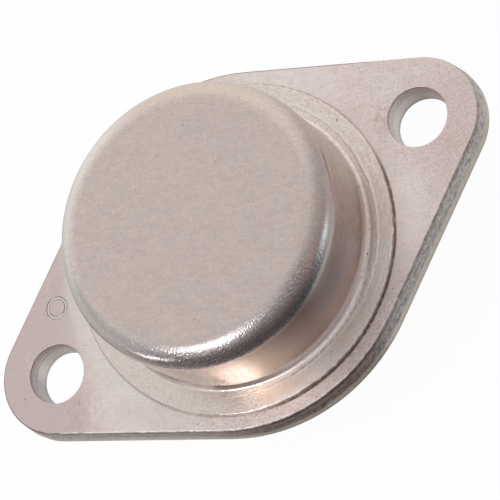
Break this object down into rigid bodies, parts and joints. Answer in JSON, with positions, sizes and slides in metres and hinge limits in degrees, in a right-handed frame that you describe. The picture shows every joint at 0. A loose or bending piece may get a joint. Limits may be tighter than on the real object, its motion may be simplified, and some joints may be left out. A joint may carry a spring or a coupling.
{
  "type": "power transistor",
  "caption": "Metal-can power transistor: a round drawn cap welded by its brim to a diamond-shaped steel base plate with screw holes, and straight leads in glass seals below.",
  "frame": {"origin": "centre of the base plate's flat underside, the mounting face, midway between the screw holes", "axes": "+X from one screw hole to the other, towards the side that the leads are nearer; +Z out through the cap's top; the leads point along -Z"},
  "size_m": [0.0388, 0.0252, 0.0214],
  "materials": {
    "plated_plate": "satin",
    "plated_cap": "satin",
    "tinned_lead": "satin",
    "seal_glass": "gloss",
    "copper": "satin",
    "braze": "satin",
    "silicon": "gloss",
    "solder": "satin",
    "bond_wire": "satin"
  },
  "bodies": {
    "root": {"base_plate": "plated_plate", "cap": "plated_cap", "emitter_lead": "tinned_lead", "base_lead": "tinned_lead", "emitter_seal": "seal_glass", "base_seal": "seal_glass", "heat_spreader": "copper", "spreader_braze": "braze", "chip": "silicon", "chip_solder": "solder", "emitter_wire_inner": "bond_wire", "emitter_wire_outer": "bond_wire", "base_wire": "bond_wire"}
  },
  "joints": []
}
